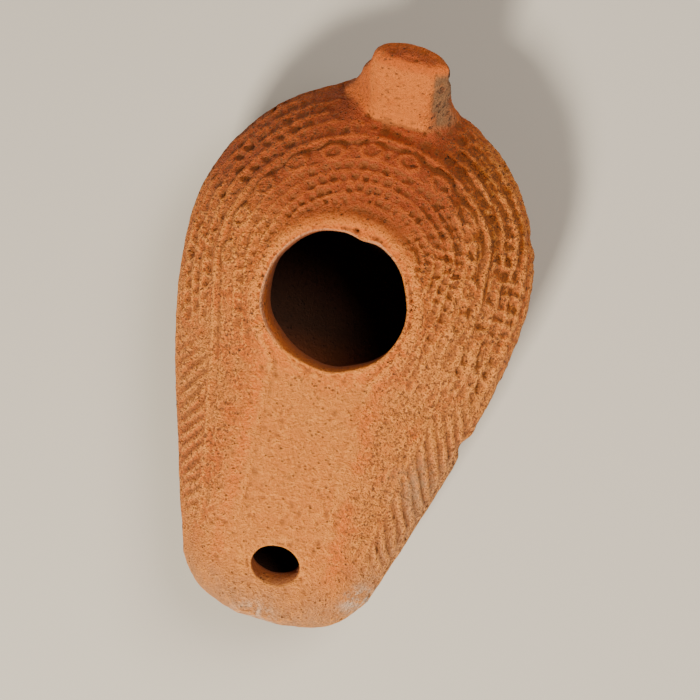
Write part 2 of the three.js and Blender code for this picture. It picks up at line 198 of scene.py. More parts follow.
def collarReach(station):
    behind = mouth["holeStation"] - station
    around = np.sqrt(np.maximum(mouth["collarRadius"] ** 2 - behind ** 2, 0.0))
    toward = (station - mouth["wickStation"]) / (mouth["holeStation"] - mouth["wickStation"])
    straight = mouth["channelHalfWidth"] + mouth["channelFlare"] * np.maximum(toward, 0.0) ** 2
    reach = smoothLarger(around, straight, mouth["collarBlend"]) - mouth["collarTuck"]
    return np.where(station >= mouth["holeStation"], mouth["collarRadius"], reach)


# Moulded relief on the shoulder, around a circle a little off the hole's middle.
# Pairs are where a form begins and where it is full, in millimetres or degrees
relief = {
    "ridgeStation": 67.0,
    "ridgeOffset": 1.1,
    "ridgeRadius": 25.2,
    "ridgeRise": 0.36,
    "ridgeWidth": 0.36,
    "grooveDepth": 0.3,
    "grooveInset": 1.1,
    "sideLineInset": 2.1,
    "sideLineRise": 0.2,
    "grooveWidth": 0.5,
    "edgeMargin": 1.5,
    "rightPullIn": 2.1,
    "rightPullInDegrees": (50.0, 72.0),
    "stemFrontReach": 15.7,
    "stemBackReach": 23.6,
    "stemFrontStation": 16.0,
    "stemBend": 1.15,
    "stemWear": 0.45,
    "flankEnd": (42.0, 52.0),
    "netBeforeHole": (13.0, 8.0),
    "behindWick": (2.0, 9.0),
    "rightSide": (6.0, 16.0),
    "staggeredTurn": (-1.25, -0.85),
    "cellSpacing": 2.45,
    "outerRowSteps": (1.9, 4.0, 6.1, 8.2),
    "outerCell": (0.98, 0.8),
    "outerDepth": 0.66,
    "outerLine": (1.05, 0.3),
    "innerRowSteps": (5.3, 7.3, 9.3, 11.3),
    "innerCell": (1.0, 0.72),
    "innerDepth": 0.46,
    "innerLine": (1.0, 0.26),
    "rowLineRise": 0.26,
    "edgeBandRise": 0.25,
    "edgeBandInset": 1.6,
    "streakRise": 0.5,
    "bossFirst": -5,
    "bossLast": 6,
    "bossDegrees": 17.6,
    "bossTurn": -6.0,
    "bossInset": 2.6,
    "bossPullIn": 1.7,
    "bossPullInDegrees": (55.0, 80.0),
    "bossLength": 1.8,
    "bossWidth": 1.3,
    "bossRise": 0.54,
    "bossRing": 0.36,
    "bossDot": 0.45,
    "leftStrokeDegrees": 46.0,
    "leftStrokeSpacing": 2.7,
    "rightStrokeDegrees": 28.0,
    "rightStrokeSpacing": 3.6,
    "strokeRise": 0.44,
}


# Rays from the lamp's middle line out to the mould joint, one for each column of a skin
class Fan:
    def __init__(self, outline, rootY):
        self.rootX, self.rootY = np.zeros(len(outline)), rootY
        across = outline - np.stack([self.rootX, self.rootY], axis=1)
        self.edge = np.hypot(across[:, 0], across[:, 1])
        self.dirX, self.dirY = across[:, 0] / self.edge, across[:, 1] / self.edge

    def plan(self, distance):
        return self.rootX + self.dirX * distance, self.rootY + self.dirY * distance

    def ring(self, distance, height):
        return placed(*self.plan(distance), height)


# Rays of the upper side, with the heights of the shoulder, the lip and the channel
class Rays(Fan):
    def __init__(self, outline):
        wick, hole = mouth["wickStation"], mouth["holeStation"]
        super().__init__(outline, np.clip(outline[:, 1], wick, hole))
        self.collar = np.minimum(collarReach(self.rootY), self.edge - mouth["collarMargin"])
        self.ridge = self.ridgeCurve()
        lipTop = lamp["collarHeight"] - mouth["collarRise"]
        forward = np.maximum((hole - self.rootY) / (hole - wick), 0.0)
        fall = lipTop - (lamp["nozzleHeight"] - mouth["channelRidgeRise"])
        self.top = lipTop - fall * forward ** mouth["channelFallBend"]
        fadeStart, fadeEnd = mouth["collarFade"]
        self.collarStrength = smoothstep(self.rootY, hole - fadeStart, hole - fadeEnd)
        self.lipWidth = mix(mouth["channelRidgeWidth"], mouth["collarRadius"] - mouth["holeRadius"],
                            self.collarStrength)
        self.lipRise = mix(mouth["channelRidgeRise"], mouth["collarRise"], self.collarStrength)

    # Distance out to the thin ridge: a circle round the body, then a stem down each flank
    def ridgeCurve(self):
        awayX = self.rootX - relief["ridgeOffset"]
        awayY = self.rootY - relief["ridgeStation"]
        along = self.dirX * awayX + self.dirY * awayY
        reach = along ** 2 - awayX ** 2 - awayY ** 2 + relief["ridgeRadius"] ** 2
        circle = np.sqrt(np.maximum(reach, 0.0)) - along
        toRight = np.degrees(np.arctan2(self.dirX, self.dirY))
        circle = circle - relief["rightPullIn"] * smoothstep(toRight, *relief["rightPullInDegrees"])
        front = relief["stemFrontStation"]
        share = np.clip((self.rootY - front) / (mouth["holeStation"] - front), 0.0, 1.0)
        stem = mix(relief["stemFrontReach"], relief["stemBackReach"], share ** relief["stemBend"])
        ridge = np.where(self.rootY < mouth["holeStation"], stem, circle)
        return np.minimum(ridge, self.edge - relief["edgeMargin"])

    def plainShoulder(self, distance):
        share = np.clip((distance - self.collar) / (self.edge - self.collar), 0.0, 1.0)
        bandTop = lamp["jointHeight"] + lamp["jointBand"] / 2
        straight, curved = lamp["shoulderStraight"], lamp["shoulderCurved"]
        height = 1.0 - straight * share - curved * share ** lamp["shoulderBend"]
        return bandTop + (self.top - bandTop) * height

    # Height of the plain shoulder, the lip and the channel floor
    def shoulder(self, distance):
        inward = (self.collar - distance) / self.lipWidth
        channelFoot, collarFoot = mouth["lipFoot"]
        crest = mouth["lipCrest"]
        rising = smoothstep(inward, mix(channelFoot, collarFoot, self.collarStrength), crest)
        falling = smoothstep(inward, crest, 1.0)
        floor = mouth["lipFloorShare"] * self.collarStrength
        station = self.rootY + self.dirY * distance
        channelRidge = mouth["channelRidgeWear"] * smoothstep(station, *mouth["channelRidgeEnds"])
        worn = mix(channelRidge, 1.0, self.collarStrength)
        lip = self.lipRise * worn * rising * (1.0 - (1.0 - floor) * falling)
        return self.plainShoulder(distance) + lip


# Rays of the underside, which run in to a shorter line so that the foot is almond shaped
class UnderRays(Fan):
    def __init__(self, outline):
        wick, hole = mouth["wickStation"], mouth["holeStation"]
        along = (np.clip(outline[:, 1], wick, hole) - wick) / (hole - wick)
        super().__init__(outline, mix(lamp["footFrontStation"], hole, along))
        self.foot = mix(lamp["footFrontRadius"], lamp["footHalfWidth"], np.sin(along * math.pi / 2))

    def bowl(self, distance):
        share = np.clip((distance - self.foot) / (self.edge - self.foot), 0.0, 1.0)
        rise = lamp["jointHeight"] - lamp["jointBand"] / 2 - lamp["footHeight"]
        curve = lamp["bowlStraight"] * share + lamp["bowlCurved"] * share ** lamp["bowlBend"]
        return lamp["footHeight"] + rise * curve


# Smooth noise from a seeded lattice, between -1 and 1
def clayNoise(points, size, seed):
    latticeSize = 32
    lattice = np.random.default_rng(seed).uniform(-1.0, 1.0, (latticeSize, latticeSize, latticeSize))
    cells = points / size
    base = np.floor(cells).astype(int)
    part = cells - base
    part = part * part * (3.0 - 2.0 * part)
    total = np.zeros(len(points))
    for corner in range(8):
        offset = np.array([corner & 1, corner >> 1 & 1, corner >> 2 & 1])
        index = (base + offset) % latticeSize
        weight = np.prod(np.where(offset == 1, part, 1.0 - part), axis=1)
        total += weight * lattice[index[:, 0], index[:, 1], index[:, 2]]
    return total


# How far the pressed cells differ from each other: shares of their size, or millimetres of shift
cellSpread = {
    "chances": 257,
    "slant": 0.35,
    "alongShift": 0.4,
    "acrossShift": 0.36,
    "length": 0.3,
    "width": 0.25,
    "cornerSharpness": 0.8,
    "depth": (0.72, 0.5),
}


# A row of small sunken cells, each a little different
def cellRow(along, across, spacing, shift, halfSize, seed):
    cell = np.floor(along / spacing + shift)
    middle = (cell + 0.5 - shift) * spacing
    uneven = np.random.default_rng(seed).uniform(-1.0, 1.0, (cellSpread["chances"], 4))
    pick = uneven[cell.astype(int) % cellSpread["chances"]]
    slant = cellSpread["slant"] * pick[..., 1] * across
    halfLength = halfSize[0] * (1.0 + cellSpread["length"] * pick[..., 1])
    halfWidth = halfSize[1] * (1.0 + cellSpread["width"] * pick[..., 0])
    x = (along - middle - pick[..., 0] * cellSpread["alongShift"] - slant) / halfLength
    y = (across - pick[..., 3] * cellSpread["acrossShift"]) / halfWidth
    depth, depthSpread = cellSpread["depth"]
    rounded = x ** 4 + y ** 4 + x * x * y * y
    return np.exp(-rounded ** cellSpread["cornerSharpness"]) * (depth + depthSpread * pick[..., 2])


# Size in millimetres and seed of each noise in the relief
reliefNoise = {
    "wear": (6.0, 5),
    "fineWear": (2.2, 6),
    "broken": (1.8, 7),
    "strokes": (4.0, 8),
    "streaks": (1.0, 9),
    "merged": (1.6, 10),
}


# Height of the moulded relief over the plain shoulder, for one row of points
def reliefHeight(rays, distance):
    x, station = rays.plan(distance)
    outward = distance - rays.ridge
    fromEdge = rays.edge - distance
    turn = np.arctan2(x - relief["ridgeOffset"], station - relief["ridgeStation"])
    along = turn * relief["ridgeRadius"]
    netStart, netFull = relief["netBeforeHole"]
    body = smoothstep(station, mouth["holeStation"] - netStart, mouth["holeStation"] - netFull)
    bareEnd, fullStart = relief["behindWick"]
    fromFront = smoothstep(station, mouth["wickStation"] + bareEnd, mouth["wickStation"] + fullStart)
    right = smoothstep(x, *relief["rightSide"])
    flank = 1.0 - smoothstep(station, *relief["flankEnd"])
    staggered = smoothstep(turn, *relief["staggeredTurn"])
    spots = np.stack([x, station, 0.0 * x], axis=1)

    # Worn all over, most of all left of the handle
    wear = 0.92 + 0.2 * clayNoise(spots, *reliefNoise["wear"])
    wear = wear + 0.2 * clayNoise(spots, *reliefNoise["fineWear"])
    wornBack = np.exp(-((x + 6.0) / 8.0) ** 2 - ((station - 97.0) / 5.0) ** 2)
    wornLeft = smoothstep(-x, 4.0, 14.0) * smoothstep(station, 84.0, 92.0)
    wear = np.clip(wear - 0.75 * wornBack - 0.3 * wornLeft, 0.12, 1.15)
    broken = np.clip(0.8 + 0.9 * clayNoise(spots, *reliefNoise["broken"]), 0.1, 1.5)

    # The ridge with a groove inside it, and on the flanks a second line
    height = relief["ridgeRise"] * bell(outward, 0.0, relief["ridgeWidth"]) * (0.6 + 0.4 * broken)
    height -= relief["grooveDepth"] * bell(outward, -relief["grooveInset"], relief["grooveWidth"])
    height += (relief["sideLineRise"] * flank
               * bell(outward, -relief["sideLineInset"], relief["grooveWidth"]))
    height = height * fromFront * np.clip(wear + 0.15, 0.3, 1.0) * (1.0 - relief["stemWear"] * flank)

    # Rows of cells with thin raised lines between them, out (1) or in (-1) from the ridge
    def net(name, side, inRoom, spacing, stagger, lengthening, seed):
        cells, lines = 0.0, 0.0
        for row, step in enumerate(relief[name + "RowSteps"]):
            fromRow = outward - side * step
            longer = along * (1.0 + step / relief["ridgeRadius"] * lengthening)
            cells = cells + inRoom * cellRow(longer, fromRow, spacing, 0.5 * (row % 2) * stagger,
                                             relief[name + "Cell"], seed + row)
            lines = lines + inRoom * broken * bell(fromRow, *relief[name + "Line"])
        return cells, lines

    inRoom = smoothstep(fromEdge - relief["cellSpacing"] * 0.3, 0.5, 1.2)
    cells, lines = net("outer", 1.0, inRoom, relief["cellSpacing"], staggered, 0.3, 11)
    merged = smoothstep(clayNoise(spots, *reliefNoise["merged"]), -0.1, 0.5)
    cells = cells * (1.0 - 0.5 * right * merged)
    height -= relief["outerDepth"] * (1.0 + 0.5 * right) * cells * body * wear
    height += relief["rowLineRise"] * lines * body * wear
    edgeBand = bell(fromEdge, relief["edgeBandInset"], 0.5)
    height += relief["edgeBandRise"] * edgeBand * body * wear * right
    drawnOut = np.stack([outward * 1.5, along * 0.22, 0.0 * x], axis=1)
    streak = np.clip(clayNoise(drawnOut, *reliefNoise["streaks"]), -0.2, 1.0)
    height += relief["streakRise"] * streak * body * right * smoothstep(fromEdge, 0.6, 2.0)

    # Between the bosses and the collar the net is finer
    inRoom = smoothstep(distance - rays.collar, 0.7, 1.7)
    cells, lines = net("inner", -1.0, inRoom, relief["cellSpacing"] * 1.15, 1.0, 0.0, 31)
    height -= relief["innerDepth"] * (1.0 + 0.5 * right) * cells * body * wear
    height += relief["rowLineRise"] * lines * body * wear

    # Oval ringed bosses in a row inside the ridge
    bosses = 0.0
    for number in range(relief["bossFirst"], relief["bossLast"] + 1):
        degrees = relief["bossTurn"] + relief["bossDegrees"] * number
        angle = math.radians(degrees)
        pulledIn = float(smoothstep(np.float64(degrees), *relief["bossPullInDegrees"]))
        reach = relief["ridgeRadius"] - relief["bossInset"] - relief["bossPullIn"] * pulledIn
        awayX = x - relief["ridgeOffset"] - math.sin(angle) * reach
        awayY = station - relief["ridgeStation"] - math.cos(angle) * reach
        lengthways = awayX * math.cos(angle) - awayY * math.sin(angle)
        widthways = awayX * math.sin(angle) + awayY * math.cos(angle)
        away = np.hypot(lengthways / relief["bossLength"], widthways / relief["bossWidth"])
        bosses = bosses + bell(away, 1.0, relief["bossRing"]) + 0.6 * bell(away, 0.0, relief["bossDot"])
    height += relief["bossRise"] * bosses * np.clip(wear + 0.2, 0.5, 1.0)

    # Strokes that run forward and out from the stem beside the nozzle
    for side, name in [(-1.0, "left"), (1.0, "right")]:
        slant = math.tan(math.radians(relief[name + "StrokeDegrees"]))
        phase = (station + outward / slant) / relief[name + "StrokeSpacing"]
        unsteady = phase + 0.2 * clayNoise(spots, *reliefNoise["strokes"])
        wave = (0.5 + 0.5 * np.cos(unsteady * 2.0 * math.pi)) ** 1.2
        zone = smoothstep(outward, 0.4, 1.0) * smoothstep(fromEdge, 0.9, 1.8)
        ownSide = (np.sign(x) == side) * flank * fromFront
        height += relief["strokeRise"] * (wave - 0.4) * zone * ownSide * wear
    return height


def ringsToMesh(name, rings, side="outside"):
    count = len(rings[0])
    points = np.concatenate(rings)
    row = np.arange(len(rings) - 1)[:, None] * count
    column = np.arange(count)[None, :]
    after = (column + 1) % count
    faces = np.stack([row + column, row + after, row + count + after, row + count + column], axis=-1)
    points, faces = weldPoints(points, faces.reshape(-1, 4))
    return meshFromFaces(name, points, faces, side)


# Joins points that share a place, so that the skin closes along its middle lines
def weldPoints(points, faces):
    keys = np.round(points * 10000.0).astype(np.int64)
    _, first, inverse = np.unique(keys, axis=0, return_index=True, return_inverse=True)
    return points[first], inverse.reshape(-1)[faces]


# Faces keep their slot through the joining and cutting, so that each part of the surface can be told
sideSlots = {"outside": 0, "inside": 1, "handle": 2}
slotMaterials = [bpy.data.materials.new(side + "Faces") for side in sideSlots]


def meshFromFaces(name, points, quads, side):
    faces = []
    for quad in quads.tolist():
        corners = [corner for place, corner in enumerate(quad) if corner != quad[place - 1]]
        if len(corners) > 2:
            faces.append(corners)
    mesh = bpy.data.meshes.new(name)
    mesh.from_pydata(points.tolist(), [], faces)
    for slot in slotMaterials:
        mesh.materials.append(slot)
    mesh.polygons.foreach_set("material_index", [sideSlots[side]] * len(faces))
    mesh.update()
    item = bpy.data.objects.new(name, mesh)
    bpy.context.scene.collection.objects.link(item)
    return item


def placed(x, station, height):
    x, station, height = np.broadcast_arrays(x, station, height)
    return np.stack([x, station - lamp["backStation"] / 2, height], axis=-1)


def outerSkin(outline):
    rays, under = Rays(outline), UnderRays(outline)
    rings = []
    groove, width = lamp["footGrooveInset"], lamp["footGrooveWidth"]
    footStops = [(groove + width, 0.0), (groove + width / 2, lamp["footGrooveDepth"]), (groove, 0.0),
                 (0.3, 0.0), (0.0, 0.3)]
    for share in np.linspace(0.0, 0.85, division["footRows"]):
        rings.append(under.ring(under.foot * share * 0.7, 0.0))
    for inset, height in footStops:
        rings.append(under.ring(under.foot - inset, height))
    for share in np.linspace(0.0, 1.0, division["bowlRows"], endpoint=False):
        distance = mix(under.foot + lamp["footHeight"] * 0.5, under.edge, share)
        rings.append(under.ring(distance, under.bowl(distance)))
    for angle in (-1.0, -0.5, 0.0, 0.5):
        inset = lamp["jointRounding"] * angle * angle
        rings.append(rays.ring(rays.edge - inset, lamp["jointHeight"] + angle * lamp["jointBand"] / 2))
    step = 0.05
    for share in np.linspace(1.0, 0.0, division["shoulderRows"]):
        distance = mix(rays.collar, rays.edge - lamp["jointRounding"], share)
        height = rays.shoulder(distance)
        slope = (rays.shoulder(distance + step) - rays.shoulder(distance - step)) / (2 * step)
        length = np.hypot(1.0, slope)
        raised = reliefHeight(rays, distance)
        rings.append(rays.ring(distance - raised * slope / length, height + raised / length))
    for share in np.linspace(0.0, 1.0, division["lipRows"] + 1)[1:]:
        distance = rays.collar - rays.lipWidth * share
        rings.append(rays.ring(distance, rays.shoulder(distance)))
    innermost = rays.collar - rays.lipWidth
    for share in np.linspace(1.0, 0.0, division["floorRows"] + 1)[1:]:
        rings.append(rays.ring(innermost * share, rays.shoulder(innermost * share)))
    return ringsToMesh("outerSkin", rings)


# The hollow inside, one wall within the outer surface
def hollowSkin(outline):
    outline = outline[::division["hollowSkip"]]
    rays, under = Rays(outline), UnderRays(outline)
    wall = lamp["wall"]
    roundEdge = lamp["bodyStation"] + lamp["bodyBackReach"] - mouth["holeStation"]
    rootDepth = np.maximum(rays.edge - roundEdge, 0.0)
    step = 0.05

    def inward(side, fan, heightAt, distance):
        slope = (heightAt(distance) - heightAt(distance - step)) / step
        length = np.hypot(1.0, slope)
        moved = distance - wall * np.abs(slope) / length
        return fan.ring(moved, heightAt(distance) + side * wall / length)

    rings = [under.ring(0.0 * under.edge, lamp["footHeight"] + wall)]
    for share in np.linspace(0.03, 0.85, division["hollowRows"]):
        rings.append(inward(1.0, under, under.bowl, mix(under.foot + 1.0, under.edge, share)))
    rings.append(rays.ring(rays.edge - wall - rootDepth, lamp["jointHeight"]))
    for share in np.linspace(0.15, 0.95, division["hollowRows"]):
        distance = mix(rays.edge - rootDepth, rays.collar, share)
        rings.append(inward(-1.0, rays, rays.plainShoulder, distance))
    rings.append(rays.ring(0.0 * rays.edge, rays.top - wall))
    return ringsToMesh("hollowSkin", rings, "inside")


# Draws the first and last rings together to their middles
def closedEnds(rings):
    ends = [np.repeat(ring.mean(axis=0)[None], len(ring), axis=0) for ring in (rings[0], rings[-1])]
    return [ends[0]] + rings + [ends[1]]


# Tongue handle: a flat front that leans back, sides that spread, and an end that falls backward
handle = {
    "frontHalfWidth": 5.6,
    "topHalfWidth": 5.2,
    "spread": 2.4,
    "leftSpread": 2.3,
    "topSpread": 1.9,
    "leftTopSpread": 0.7,
    "widestPlace": 0.35,
    "topWidestBehind": 1.3,
    "roundedShares": (0.2, 0.95),
    "top": 41.6,
    "dome": 0.3,
    "endFall": 2.6,
    "endFallStart": 4.0,
    "backStation": 108.5,
    "frontStation": 94.4,
    "footHeight": 24.0,
    "frontLean": 0.6,
    "backLean": 0.17,
    "offset": 1.5,
    "sideLean": 0.055,
    "flare": 3.6,
    "leftFlare": 5.0,
    "flareHeight": 8.0,
    "flareFade": 0.6,
    "leftFlareFade": 0.25,
    "flareFadeDepth": (0.1, 0.9),
    "rootDrop": 1.8,
    "rootShrink": 0.75,
    "frontSquareness": 0.34,
    "backSquareness": 0.8,
    "topSquareness": 1.0,
}


# One ring of the handle: flat in front and widest behind its middle. Its back falls below its front
def handleRing(height, shrink=1.0, lift=0.0):
    edgeHeight, aboveFoot = handle["top"] - handle["dome"], height - handle["footHeight"]
    up = np.clip(aboveFoot / (edgeHeight - handle["footHeight"]), -1, 1)
    rounder = smoothstep(up, *handle["roundedShares"])
    backPower = mix(handle["backSquareness"], handle["topSquareness"], rounder)
    angles = np.linspace(0.0, 2.0 * math.pi, division["handleSteps"])
    power = np.where(np.sin(angles) < 0.0, handle["frontSquareness"], backPower)
    across = np.sign(np.cos(angles)) * np.abs(np.cos(angles)) ** power
    along = np.sign(np.sin(angles)) * np.abs(np.sin(angles)) ** power
    across, along = evenly(np.stack([across, along], axis=1), division["handleColumns"])[:-1].T
    front = handle["frontStation"] + aboveFoot * handle["frontLean"]
    back = handle["backStation"] - (edgeHeight - height) * handle["backLean"]

    # Sides that spread more on the left and flare toward the root
    left = across < 0.0
    flare = np.where(left, handle["leftFlare"], handle["flare"])
    flare = flare * math.exp(-max(height - lamp["jointHeight"], 0.0) / handle["flareHeight"])
    fade = np.where(left, handle["leftFlareFade"], handle["flareFade"])
    flare = flare * (1.0 - fade * smoothstep(along, *handle["flareFadeDepth"]))
    lowSpread = np.where(left, handle["leftSpread"], handle["spread"])
    highSpread = np.where(left, handle["leftTopSpread"], handle["topSpread"])
    spread = mix(lowSpread, highSpread, rounder) + flare
    spread = spread * smoothstep(along, -1.0, handle["widestPlace"] * (1.0 - rounder))

    rootEnd = lamp["jointHeight"] - handle["rootDrop"]
    size = shrink * mix(handle["rootShrink"], 1.0, smoothstep(height, rootEnd, lamp["jointHeight"]))
    halfWidth = (mix(handle["frontHalfWidth"], handle["topHalfWidth"], up) + spread) * size
    middleX = handle["offset"] + aboveFoot * handle["sideLean"]
    widest = mix((front + back) / 2, front + handle["topWidestBehind"], rounder)
    reach = np.where(along < 0.0, widest - front, back - widest) * size
    middle = mix((front + back) / 2, widest, shrink)
    depth = (middle + reach * along - front) / (back - front)
    fallStart = handle["footHeight"] + handle["endFallStart"]
    fall = handle["endFall"] * smoothstep(height, fallStart, edgeHeight)
    return placed(middleX + halfWidth * across, middle + reach * along, height + lift - fall * depth)


def handleSkin():
    low, edgeHeight = lamp["jointHeight"] - handle["rootDrop"], handle["top"] - handle["dome"]
    rings = [handleRing(height) for height in np.linspace(low, edgeHeight, division["handleRows"])]
    for shrink in np.linspace(1.0, 0.0, division["handleTopRows"])[1:-1]:
        rings.append(handleRing(edgeHeight, shrink, handle["dome"] * (1.0 - shrink ** 2)))
    return ringsToMesh("handleSkin", closedEnds(rings), "handle")


# A bore as a closed tube, from its rings listed from below to above
def boreSkin(name, rings):
    return ringsToMesh(name, closedEnds(rings), "inside")


# Cutter of the filling hole. A wave is how often it goes round, its height and its turn.
# The wall runs in below the rim at the front left, and the rim bulges where it is chipped
fillingCut = {
    "inset": 0.05,
    "waves": [(2, 0.16, 0.6), (5, 0.12, 1.1), (9, 0.07, 0.0)],
    "bulge": 0.75,
    "bulgeDegrees": 80.0,
    "bulgeSpan": 11.0,
    "taper": 1.5,
    "taperDegrees": -112.0,
    "taperDepths": (0.6, 4.2),
    "aboveJoint": 3.0,
    "overshoot": 2.0,
}


def fillingBore():
    count = division["mouthColumns"]
    angles = np.arange(count) / count * 2.0 * math.pi
    uneven = 0.0
    for times, rise, turn in fillingCut["waves"]:
        uneven = uneven + rise * np.cos(times * angles + turn)
    bulge = [math.radians(fillingCut[name]) for name in ("bulgeDegrees", "bulgeSpan")]
    uneven -= fillingCut["bulge"] * bell(angles, *bulge)
    radius = mouth["holeRadius"] - fillingCut["inset"] + uneven
    toFront = np.clip(np.cos(angles - math.radians(fillingCut["taperDegrees"])), 0.0, 1.0)
    low = lamp["jointHeight"] + fillingCut["aboveJoint"]
    high = lamp["collarHeight"] + fillingCut["overshoot"]
    rings = []
    for height in np.linspace(low, high, division["mouthRows"]):
        below = float(smoothstep(lamp["collarHeight"] - height, *fillingCut["taperDepths"]))
        reach = radius - fillingCut["taper"] * toFront * below
        rings.append(placed(mouth["holeOffset"] + reach * np.cos(angles),
                            mouth["holeStation"] + reach * np.sin(angles), height))
    return boreSkin("fillingBore", rings)


# Cutter of the wick hole: its front side is scooped out and slopes down, its back side is upright
wick = {
    "offset": 0.8,
    "halfWidth": 4.5,
    "backStation": 16.0,
    "frontStation": 7.7,
    "rimDepth": 0.2,
    "scoopStart": -0.6,
    "scoopLength": 2.6,
    "scoopDepth": 3.2,
    "sideFall": 1.0,
    "sideFallDepth": 6.0,
    "belowJoint": 1.0,
    "overshoot": 1.5,
}


def wickBore():
    count = division["wickColumns"]
    angles = np.arange(count) / count * 2.0 * math.pi
    low, high = lamp["jointHeight"] - wick["belowJoint"], lamp["nozzleHeight"] + wick["overshoot"]
    rings = []
    for height in np.linspace(low, high, division["wickRows"]):
        below = lamp["nozzleHeight"] - wick["rimDepth"] - height
        scoop = float(smoothstep(below, wick["scoopStart"], wick["scoopDepth"]))
        front = wick["frontStation"] + wick["scoopLength"] * scoop
        middle, half = (wick["backStation"] + front) / 2, (wick["backStation"] - front) / 2
        sideways = float(smoothstep(below, wick["scoopStart"], wick["sideFallDepth"]))
        offset = wick["offset"] - wick["sideFall"] * sideways
        rings.append(placed(offset + wick["halfWidth"] * np.cos(angles),
                            middle + half * np.sin(angles), height))
    return boreSkin("wickBore", rings)


def combine(body, other, operation):
    modifier = body.modifiers.new(operation, "BOOLEAN")
    modifier.operation = operation
    modifier.solver = "MANIFOLD"
    modifier.object = other
    depsgraph = bpy.context.evaluated_depsgraph_get()
    mesh = bpy.data.meshes.new_from_object(body.evaluated_get(depsgraph))
    body.modifiers.clear()
    body.data = mesh
    bpy.data.objects.remove(other)


def buildLamp():
    outline = wholeOutline()
    body = outerSkin(outline)
    print("outer skin", len(body.data.polygons))
    combine(body, handleSkin(), "UNION")
    combine(body, hollowSkin(outline), "DIFFERENCE")
    combine(body, fillingBore(), "DIFFERENCE")
    combine(body, wickBore(), "DIFFERENCE")
    print("after joining and cutting", len(body.data.polygons))
    return body


def numbersOf(items, name, width=1, kind=float):
    values = np.empty(len(items) * width, kind)
    items.foreach_get(name, values)
    return values.reshape(-1, width) if width > 1 else values


# The finished mesh as numbers: its points, its edges and the mean of each point's neighbours
class Clay:
    def __init__(self, mesh):
        self.mesh = mesh
        self.points = numbersOf(mesh.vertices, "co", 3)
        self.edges = numbersOf(mesh.edges, "vertices", 2, np.int64)
        self.count = np.bincount(self.edges.reshape(-1), minlength=len(self.points))[:, None]
        self.inside = self.sideShare("inside", 3)
        self.handle = self.sideShare("handle", 1)

    # 1 on the faces of one side, 0 on the others, and soft between them
    def sideShare(self, side, rounds):
        slots = numbersOf(self.mesh.polygons, "material_index", kind=np.int32)
        lengths = numbersOf(self.mesh.polygons, "loop_total", kind=np.int32)
        corners = numbersOf(self.mesh.loops, "vertex_index", kind=np.int32)
        onSide = (np.repeat(slots, lengths) == sideSlots[side]).astype(float)
        total = np.bincount(corners, onSide, len(self.points))
        share = (total / np.maximum(np.bincount(corners, minlength=len(self.points)), 1))[:, None]
        for _ in range(rounds):
            share = self.neighbourMean(share)
        return share[:, 0]

    def write(self, scale=1.0):
        self.mesh.vertices.foreach_set("co", (self.points * scale).reshape(-1))
        self.mesh.update()

    def normals(self):
        self.write()
        return numbersOf(self.mesh.vertices, "normal", 3)

    def neighbourMean(self, values):
        first, second = self.edges[:, 0], self.edges[:, 1]
        total = np.empty_like(values)
        for axis in range(values.shape[1]):
            total[:, axis] = (np.bincount(first, values[second, axis], len(values))
                              + np.bincount(second, values[first, axis], len(values)))
        return total / self.count

    def smooth(self, share, rounds):
        share = np.clip(share, 0.0, 1.0)[:, None] * 0.6
        for _ in range(rounds):
            self.points += share * (self.neighbourMean(self.points) - self.points)

    def push(self, distance):
        self.points += self.normals() * distance[:, None]


# Damage seen on the lamp: x, station, height, reach, depth
chips = [
    (29.6, 81.4, 17.6, 1.5, 0.7),
    (27.9, 41.4, 17.2, 1.7, 1.1),
    (28.6, 44.4, 18.6, 0.9, 0.5),
    (4.6, 74.2, 32.6, 1.4, 0.5),
    (-5.0, 23.6, 28.6, 0.5, 0.35),
    (-6.2, 23.3, 28.6, 0.5, 0.4),
    (-7.4, 23.4, 28.4, 0.5, 0.35),
    (12.0, 9.7, 26.0, 0.8, 0.4),
    (12.8, 10.9, 26.0, 0.5, 0.4),
    (8.6, 104.0, 36.0, 1.2, 0.5),
    (9.0, 99.0, 27.0, 1.3, 0.5),
    (8.4, 97.6, 29.5, 1.0, 0.5),
    (8.8, 101.2, 32.0, 1.1, 0.45),
]
pores = {"count": 1100, "smallest": 0.22, "largest": 0.62, "depth": 0.26, "seed": 41}

# Rounding of edges, the fillet round the handle, and unevenness as depth, size and seed
wearing = {
    "rimWidth": 0.7,
    "rimBelow": (4.0, 2.0),
    "rimRounds": 10,
    "wickMiddle": 12.0,
    "wickReach": 4.4,
    "wickHeights": (24.0, 26.0),
    "filletBeside": 6.2,
    "filletLean": 0.15,
    "filletDepth": -2.5,
    "filletWidth": 2.7,
    "filletFrontWidth": 0.3,
    "filletFrontShare": 0.1,
    "filletTop": (26.5, 33.0),
    "filletFoot": (13.0, 15.0),
    "filletStations": (90.0, 95.0),
    "filletRounds": 90,
    "handleTop": (37.0, 39.5),
    "handleTopRounds": 12,
    "uneven": [(0.13, 9.0, 51), (0.07, 3.4, 52), (0.06, 1.5, 53), (0.06, 0.8, 54)],
    "handleSide": (6.5, 7.6),
    "handleSideFoot": (22.0, 25.0),
    "handleSidePits": (0.5, 1.1, 55),
    "roughSide": (8.0, 18.0),
    "roughFront": (34.0, 46.0),
    "roughDepth": 0.13,
}


